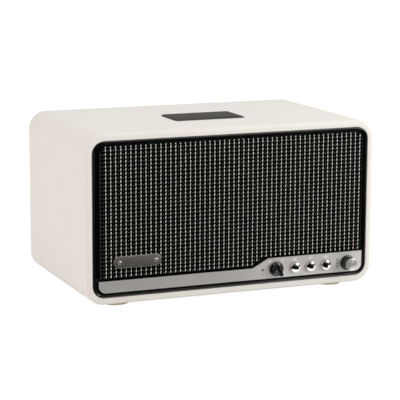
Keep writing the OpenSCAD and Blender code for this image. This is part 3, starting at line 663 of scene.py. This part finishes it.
def makeBadge():
    low, high, middle = placeOf("badge_plate")
    size = high - low
    bm = bmesh.new()
    face = roundedFace(bm, size.x, size.z, size.z / 2 - 0.02, 14)
    stepIn(bm, face, [(0, size.y - badgeShape["edge"])] + quarterRound(badgeShape["edge"], 4))
    closeBack(bm)
    standUp(bm, middle.x, high.y, middle.z)
    return finishPiece("badge_plate_cast", bm, "badge", stands=("badge_plate",))


makeBadge()
softenedCopy("badge_screws", "badge_screw_pair", "screws", edge=0.06)
print("badge")

# ---- control panel and its print ----

printShape = {"height": 0.05, "mark": 2.2, "bar": 0.6, "rise": 8, "dash": (3.0, 1.4), "dashReach": 10.6,
              "dashTurns": (-40, 43), "tick": (3.2, 0.75), "tickPitch": 2.1, "ticks": 5, "tickTop": 3.9,
              "tickGap": 1.3}


def addPrint(bm, x, z, width, height, corners=4, turn=0):
    # a flat printed mark on the panel, as a thin prism
    made = bmesh.ops.create_cone(bm, cap_ends=True, segments=corners, radius1=0.5, radius2=0.5,
                                 depth=printShape["height"])["verts"]
    square = math.radians(45) if corners == 4 else 0
    grow = math.sqrt(2) if corners == 4 else 1
    bmesh.ops.rotate(bm, matrix=Matrix.Rotation(square + math.radians(turn), 3, "Z"), verts=made)
    bmesh.ops.scale(bm, vec=(width * grow, height * grow, 1), verts=made)
    standUp(bm, x, panelLow.y - printShape["height"] / 2 + 0.01, z, verts=made)


def makeWhitePrint():
    # generic marks: a double arrow and a bar, one arrow and two bars, and a dash on each side of the selector
    bm = bmesh.new()
    mark = printShape["mark"]
    bar = printShape["bar"]
    level = placeOf("play_button")[2].z + printShape["rise"]
    back, play, following = (placeOf(node)[2].x for node in ("back_button", "play_button", "next_button"))
    for x, turn, side in ((back, 180, -1), (following, 0, 1)):
        for step in (-0.4, 0.4):
            addPrint(bm, x + step * mark, level, mark * 1.3, mark * 1.3, 3, turn)
        addPrint(bm, x + side * 0.95 * mark, level, bar, mark)
    addPrint(bm, play - 0.5 * mark, level, mark * 1.4, mark * 1.3, 3)
    for step in (0.35, 0.95):
        addPrint(bm, play + step * mark, level, bar, mark)
    middle = placeOf("selector_shaft")[2]
    reach = printShape["dashReach"]
    for turn in printShape["dashTurns"]:
        x = middle.x + reach * math.sin(math.radians(turn))
        z = middle.z + reach * math.cos(math.radians(turn))
        addPrint(bm, x, z, *printShape["dash"])
    return finishPiece("white_print", bm, "print", body="housing")


def makeVolumeTicks():
    bm = bmesh.new()
    low, _, middle = placeOf("volume_knob")
    width, height = printShape["tick"]
    for i in range(printShape["ticks"]):
        z = middle.z + printShape["tickTop"] - i * printShape["tickPitch"]
        addPrint(bm, low.x - printShape["tickGap"] - width / 2, z, width, height)
    return finishPiece("volume_ticks", bm, "darkPrint", body="housing")


softenedCopy("control_panel", "control_panel_sheet", "panel", edge=0.35, sharp=15)
makeWhitePrint()
makeVolumeTicks()
print("control panel")

# ---- knobs and buttons ----

selectorShape = {"discRadius": 7.2, "barLength": 13.8, "barWidth": 4.5, "barEnd": 0.78, "turn": 118,
                 "barShift": -0.4, "barFoot": 1.5, "barCorner": 1.3, "crown": 0.8}
volumeShape = {"flangeRadius": 7.6, "gripRadius": 6.35, "flutes": 48, "fluteDepth": 0.25, "capRadius": 6.3,
               "crown": 0.7}
buttonShape = {"radius": 5, "rise": 1.5, "ringRadius": 6.1, "ringGap": 0.3, "collar": 0.9,
               "collarHeights": (4, 5), "stemRadius": 1.8}


def makeSelector():
    shape = selectorShape
    low, high, _ = placeOf("selector_knob")
    middle = placeOf("selector_shaft")[2]
    back = high.y
    reach = back - low.y
    foot = shape["barFoot"]
    bm = bmesh.new()
    radius = shape["discRadius"]
    # a disc with a dished face, and the hub that carries the pointer bar
    turnedPiece(bm, [(0, 0), (radius - 0.2, 0), (radius, 0.2), (radius, 1.9), (radius - 0.03, 1.97),
                     (radius - 0.1, 2.0), (6.1, 2.02), (6.0, 2.06), (4.8, 2.7), (4.7, 2.8),
                     (4.6, 3.1), (4.5, 4.3), (4.3, 4.55), (4.0, 4.65), (3, 4.75), (0, 4.95)], 96)
    bar = bmesh.new()
    face = roundedFace(bar, shape["barLength"], shape["barWidth"], shape["barCorner"], 6)
    for v in bar.verts:
        along = 0.5 + v.co.x / shape["barLength"]
        v.co.y *= 1 - (1 - shape["barEnd"]) * along
    stepIn(bar, face, [(0, reach - foot - shape["crown"])] + quarterRound(shape["crown"], 5))
    closeBack(bar)
    bmesh.ops.translate(bar, vec=(shape["barShift"], 0, foot), verts=bar.verts)
    bmesh.ops.rotate(bar, matrix=Matrix.Rotation(math.radians(shape["turn"] + 180), 3, "Z"), verts=bar.verts)
    addCopy(bm, partMesh(bar))
    standUp(bm, middle.x, back, middle.z)
    return finishPiece("selector_pointer", bm, "knob", stands=("selector_knob",), sharp=35)


def makeVolumeKnob():
    shape = volumeShape
    low, high, middle = placeOf("volume_knob")
    height = high.y - low.y
    bm = bmesh.new()
    flange = shape["flangeRadius"]
    grip = shape["gripRadius"]
    turnedPiece(bm, [(0, 0), (flange - 0.2, 0), (flange, 0.2), (flange, 0.9), (flange - 0.25, 1.25),
                     (flange - 0.6, 1.4), (grip + 0.1, 1.5), (grip, 1.7), (grip, height - 0.25),
                     (grip - 0.25, height), (0, height)], 4 * shape["flutes"])
    for v in bm.verts:
        reach = math.hypot(v.co.x, v.co.y)
        if grip - 0.4 < reach < grip + 0.05 and v.co.z > 1.6:
            wave = (1 + math.cos(shape["flutes"] * math.atan2(v.co.y, v.co.x))) / 2
            v.co.xy *= 1 - shape["fluteDepth"] * wave / reach
    standUp(bm, middle.x, high.y, middle.z)
    return finishPiece("volume_grip", bm, "knob", stands=("volume_knob",), sharp=40)


def makeVolumeCap():
    low, high, middle = placeOf("volume_cap")
    radius = volumeShape["capRadius"]
    rim = radius - 0.2
    crown = volumeShape["crown"]
    height = high.y - low.y
    bm = bmesh.new()
    crownRadius = (rim * rim + crown * crown) / (2 * crown)
    half = math.degrees(math.asin(rim / crownRadius))
    face = arcPoints((0, height - crownRadius), crownRadius, 90, 90 - half, 10)
    edge = height - crown
    turnedPiece(bm, face + [(radius - 0.06, edge - 0.06), (radius, edge - 0.2), (radius, 0), (0, 0)], 96)
    standUp(bm, middle.x, high.y, middle.z)
    return finishPiece("volume_cap_spun", bm, "cap", stands=("volume_cap",))


def makeButtons():
    shape = buttonShape
    radius = shape["radius"]
    rise = shape["rise"]
    domeRadius = (radius * radius + rise * rise) / (2 * rise)
    half = math.degrees(math.asin((radius - 0.25) / domeRadius))
    stem = shape["stemRadius"]
    collar = radius + shape["collar"]
    collarBack, collarFront = shape["collarHeights"]
    for node in ("back_button", "play_button", "next_button"):
        low, high, middle = placeOf(node)
        height = high.y - low.y
        dome = arcPoints((0, height - domeRadius), domeRadius, 90, 90 - half, 12)
        edge = height - rise
        bm = bmesh.new()
        turnedPiece(bm, dome + [(radius - 0.06, edge - 0.05), (radius, edge - 0.25), (radius, collarFront),
                                (collar, collarFront), (collar, collarBack), (stem, collarBack), (stem, 0),
                                (0, 0)])
        standUp(bm, middle.x, high.y, middle.z)
        finishPiece(node.replace("_button", "_push_dome"), bm, "chrome", stands=(node,))


def makeButtonRings():
    low = placeOf("button_rings")[0]
    outer = buttonShape["ringRadius"]
    inner = buttonShape["radius"] + buttonShape["ringGap"]
    height = panelLow.y - low.y
    bm = bmesh.new()
    for node in ("back_button", "play_button", "next_button"):
        middle = placeOf(node)[2]
        ring = bmesh.new()
        crest = arcPoints(((outer + inner) / 2, height - 0.4), (outer - inner) / 2, 0, 180, 8)
        turnedPiece(ring, [(outer, 0)] + crest + [(inner, -2), (inner + 0.45, -2), (inner + 0.45, 0),
                                                  (outer, 0)])
        standUp(ring, middle.x, panelLow.y, middle.z)
        addCopy(bm, partMesh(ring))
    return finishPiece("button_collars", bm, "panel", stands=("button_rings",))


finishes["cap"] = spunAluminium(placeOf("volume_cap")[2] * mm)
makeSelector()
makeVolumeKnob()
makeVolumeCap()
makeButtons()
makeButtonRings()
print("knobs and buttons")

# ---- pad and feet ----

padShape = {"radius": 4, "slope": 2.2, "rim": 0.45, "crown": 0.25, "edge": 0.4}
footShape = {"radius": 13, "edge": 0.6, "chamfer": 0.18, "recess": (3.8, 1.4)}


def makePad():
    shape = padShape
    low, high, middle = placeOf("top_pad")
    size = high - low
    bm = bmesh.new()
    face = roundedFace(bm, size.x, size.y, shape["radius"], 8)
    rise = size.z - shape["rim"] - shape["crown"]
    stepIn(bm, face, [(0, shape["rim"]), (shape["slope"] - shape["edge"], rise)])
    stepIn(bm, face, quarterRound(shape["edge"], 3, shape["crown"]))
    closeBack(bm)
    bmesh.ops.translate(bm, vec=(middle.x, middle.y, low.z), verts=bm.verts)
    piece = finishPiece("top_pad_moulded", bm, "padShadedSlope", stands=("top_pad",), sharp=20)
    # faces that look up take the lighter silicone, the slopes and rim the darker one: painted shade
    piece.data.materials.append(finishes["pad"])
    for polygon in piece.data.polygons:
        if polygon.normal.z > 0.9:
            polygon.material_index = 1
    return piece


def makeFeet():
    low, high, _ = placeOf("feet")
    height = high.z - low.z
    bm = bmesh.new()
    radius = footShape["radius"]
    edge = footShape["edge"]
    chamfer = footShape["chamfer"]
    hole, holeTop = footShape["recess"]
    for x in (low.x + radius, high.x - radius):
        for y in (low.y + radius, high.y - radius):
            foot = bmesh.new()
            turnedPiece(foot, [(0, height), (radius, height), (radius, edge), (radius - chamfer, chamfer),
                               (radius - edge, 0), (hole, 0), (hole, holeTop), (0, holeTop)], 80)
            bmesh.ops.translate(foot, vec=(x, y, low.z), verts=foot.verts)
            addCopy(bm, partMesh(foot))
    return finishPiece("turned_feet", bm, "feet", stands=("feet",))


makePad()
makeFeet()
print("pad and feet")

# ---- rear and antenna ----

for node, name, finish, slot, edge in (
        ("rear_panel", "rear_board", "rear", "rear_board", 0.5),
        ("rear_screws", "rear_screw_set", "blackScrews", "black_screws", 0.1),
        ("bass_port", "bass_port_tube", "abs", "black_abs", 0.3),
        ("connector_plate", "connector_sheet", "plate", "connector_metal", 0.15),
        ("power_inlet", "inlet_socket", "abs", "black_abs", 0.3),
        ("aux_jack", "jack_socket", "abs", "black_abs", 0.2),
        ("power_switch", "switch_frame", "abs", "black_abs", 0.3),
        ("power_rocker", "rocker_key", "abs", "black_abs", 0.4),
        ("antenna_turret", "turret_casting", "zinc", "zinc_parts", 0.3),
        ("antenna_mast", "mast_tube", "antenna", "antenna_chrome", 0.1),
        ("antenna_middle", "middle_tube", "antenna", "antenna_chrome", 0.1),
        ("antenna_tip", "tip_rod", "antenna", "antenna_chrome", 0.3),
        ("foot_screws", "foot_screw_set", "screws", "steel_screws", 0.1),
        ("panel_nuts", "hexagon_nuts", "screws", "steel_screws", 0.15)):
    softenedCopy(node, name, finish, edge=edge)
print("rear and antenna")

# ---- what the cabinet hides ----

dress(["front_baffle"], "baffle")
dress(["grille_frame", "panel_carrier"], "abs")
dress(["control_board", "amplifier_board"], "board")
dress(["status_lens"], "lens")
dress(["selector_switch", "volume_control", "power_supply", "heatsink", "tuner_module"], "zinc")
dress(["selector_shaft", "volume_shaft"], "screws")
# each spring, which shortens by what its button travels, gets a mesh of its own
for button in ("back", "play", "next"):
    coil = softenedCopy(button + "_spring", button + "_coil", "spring", edge=0)
    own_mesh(coil)
for side in ("left_", "right_"):
    for part, finish in (("basket", "basket"), ("magnet", "magnet"), ("cone", "cone"),
                         ("voice_coil", "coil"), ("surround", "surround"), ("spider", "spider")):
        dress([side + part], finish)
dress(["driver_gaskets"], "surround")
dress(["driver_screws"], "blackScrews")
print("inner parts")

# ---- floor, light and camera ----

studio = {"floorSize": 16, "floorWhite": 0.92, "floorShade": 0.22, "floorGlow": 0.96, "worldLevel": 0.75}
lamps = {
    "key": {"place": (0.85, -0.75, 0.5), "size": (0.32, 0.32), "power": 3.8, "colour": "#fffdf8"},
    "top": {"place": (0.5, 0.1, 2.0), "size": (1.6, 1.6), "power": 8, "colour": "#ffffff"},
    "left": {"place": (-2.0, -0.5, 0.9), "size": (1.2, 1.2), "power": 8.3, "colour": "#ffeae1"},
}
# dark and grey boards that only reflections show: the plastic, the chrome and the aluminium need them
flags = {
    "floorFlag": {"place": (-0.24, -0.262, 0.001), "size": (0.56, 0.325), "tilt": (0, 0), "tone": "#0c0c0c"},
    "midFlag": {"place": (0.235, -0.283, 0.002), "size": (0.43, 0.286), "tilt": (0, 0), "tone": "#0c0c0c"},
    "nearFlag": {"place": (0.098, -0.143, 0.002), "size": (0.072, 0.05), "tilt": (0, 25), "tone": "#0c0c0c"},
    "farFlag": {"place": (-0.2, -0.76, 0.001), "size": (1.8, 0.68), "tilt": (0, 0), "tone": "#1c1c1c"},
    "frontFlag": {"place": (-0.2, -1.1, 0.15), "size": (2.6, 0.3), "tilt": (90, 0), "tone": "#0c0c0c"},
    "rightFlag": {"place": (1.1, -0.5, 0.12), "size": (1.3, 0.24), "tilt": (90, 90), "tone": "#505050"},
    "leftFlag": {"place": (-1.3, -1.12, 0.45), "size": (2.7, 0.9), "tilt": (90, 0), "tone": "#343434"},
    "skyFlag": {"place": (0.1, -1.14, 0.9), "size": (0.8, 1.3), "tilt": (90, 0), "tone": "#6c6c6c"},
    "paleFlag": {"place": (1.2, -1.14, 0.85), "size": (1.4, 1.1), "tilt": (90, 0), "tone": "#d8d8d8"},
    "sideFlag": {"place": (1.15, -0.5, 0.72), "size": (1.3, 0.96), "tilt": (90, 90), "tone": "#a8a8a8"},
}
cameraShape = {"target": (2.1, 2.3, cabinetMiddle.z - 5.25), "distance": 1707.1, "azimuth": 22.63,
               "elevation": 10.59, "roll": 0.24, "lens": 152.0, "sensor": 36}


def seenDirectly(tree):
    # 1 for what the camera, a mirror or a glass shows, 0 for light that falls on the object
    path = addNode(tree, "ShaderNodeLightPath")
    mirror = addNode(tree, "ShaderNodeMath", {0: path.outputs["Is Camera Ray"],
                                              1: path.outputs["Is Glossy Ray"]}, operation="MAXIMUM")
    both = addNode(tree, "ShaderNodeMath", {0: mirror.outputs[0], 1: path.outputs["Is Transmission Ray"]},
                   operation="MAXIMUM")
    return both.outputs[0]


def makeFloor():
    bm = bmesh.new()
    bmesh.ops.create_grid(bm, x_segments=1, y_segments=1, size=studio["floorSize"] / 2)
    mesh = bpy.data.meshes.new("studio_floor")
    bm.to_mesh(mesh)
    bm.free()
    floor = bpy.data.objects.new("studio_floor", mesh)
    bpy.context.collection.objects.link(floor)
    finish = bpy.data.materials.new("whiteFloorPaint")
    finish.use_nodes = True
    tree = finish.node_tree
    tree.nodes.clear()
    matt, shaded = (addNode(tree, "ShaderNodeBsdfDiffuse", {"Color": (*[studio[level]] * 3, 1)})
                    for level in ("floorWhite", "floorShade"))
    glow = addNode(tree, "ShaderNodeEmission", {"Strength": studio["floorGlow"]})
    white = addNode(tree, "ShaderNodeAddShader", {0: glow.outputs[0], 1: shaded.outputs[0]})
    mix = addNode(tree, "ShaderNodeMixShader", {0: seenDirectly(tree), 1: matt.outputs[0],
                                                2: white.outputs[0]})
    addNode(tree, "ShaderNodeOutputMaterial", {"Surface": mix.outputs[0]})
    mesh.materials.append(finish)


def makeWorld():
    world = bpy.data.worlds.new("studio")
    bpy.context.scene.world = world
    world.use_nodes = True
    tree = world.node_tree
    tree.nodes.clear()
    level = addNode(tree, "ShaderNodeMapRange", {0: seenDirectly(tree), 3: studio["worldLevel"], 4: 1.0})
    light = addNode(tree, "ShaderNodeBackground", {"Strength": level.outputs[0]})
    addNode(tree, "ShaderNodeOutputWorld", {"Surface": light.outputs[0]})


def makeFlags():
    for name, shape in flags.items():
        paint = bpy.data.materials.new(name + "Paint")
        paint.use_nodes = True
        tree = paint.node_tree
        tree.nodes.clear()
        glow = addNode(tree, "ShaderNodeEmission", {"Color": linearColour(shape["tone"])})
        addNode(tree, "ShaderNodeOutputMaterial", {"Surface": glow.outputs[0]})
        bm = bmesh.new()
        bmesh.ops.create_grid(bm, x_segments=1, y_segments=1, size=0.5)
        mesh = partMesh(bm)
        mesh.materials.append(paint)
        board = bpy.data.objects.new(name, mesh)
        board.location = shape["place"]
        board.scale = (*shape["size"], 1)
        lean, turn = shape["tilt"]
        board.rotation_euler = (math.radians(lean), 0, math.radians(turn))
        for ray in ("camera", "diffuse", "transmission", "volume_scatter", "shadow"):
            setattr(board, "visible_" + ray, False)
        bpy.context.collection.objects.link(board)


def makeLamps():
    aim = Vector((0, 0, 0.08))
    for name, lamp in lamps.items():
        data = bpy.data.lights.new(name, "AREA")
        data.shape = "RECTANGLE"
        data.size, data.size_y = lamp["size"]
        data.energy = lamp["power"]
        data.color = linearColour(lamp["colour"])[:3]
        light = bpy.data.objects.new(name, data)
        light.location = lamp["place"]
        light.rotation_euler = (aim - light.location).to_track_quat("-Z", "Y").to_euler()
        bpy.context.collection.objects.link(light)


def makeCamera():
    shape = cameraShape
    azimuth = math.radians(shape["azimuth"])
    elevation = math.radians(shape["elevation"])
    data = bpy.data.cameras.new("camera")
    data.lens = shape["lens"]
    data.sensor_width = shape["sensor"]
    camera = bpy.data.objects.new("camera", data)
    turn = (Matrix.Rotation(-azimuth, 4, "Z") @ Matrix.Rotation(math.pi / 2 - elevation, 4, "X")
            @ Matrix.Rotation(math.radians(shape["roll"]), 4, "Z"))
    back = turn @ Vector((0, 0, shape["distance"] * mm))
    camera.matrix_world = Matrix.Translation(Vector(shape["target"]) * mm + back) @ turn
    bpy.context.collection.objects.link(camera)
    bpy.context.scene.camera = camera


makeFloor()
makeWorld()
makeFlags()
makeLamps()
makeCamera()
bpy.context.scene.view_settings.view_transform = "Standard"
print("floor, light and camera")
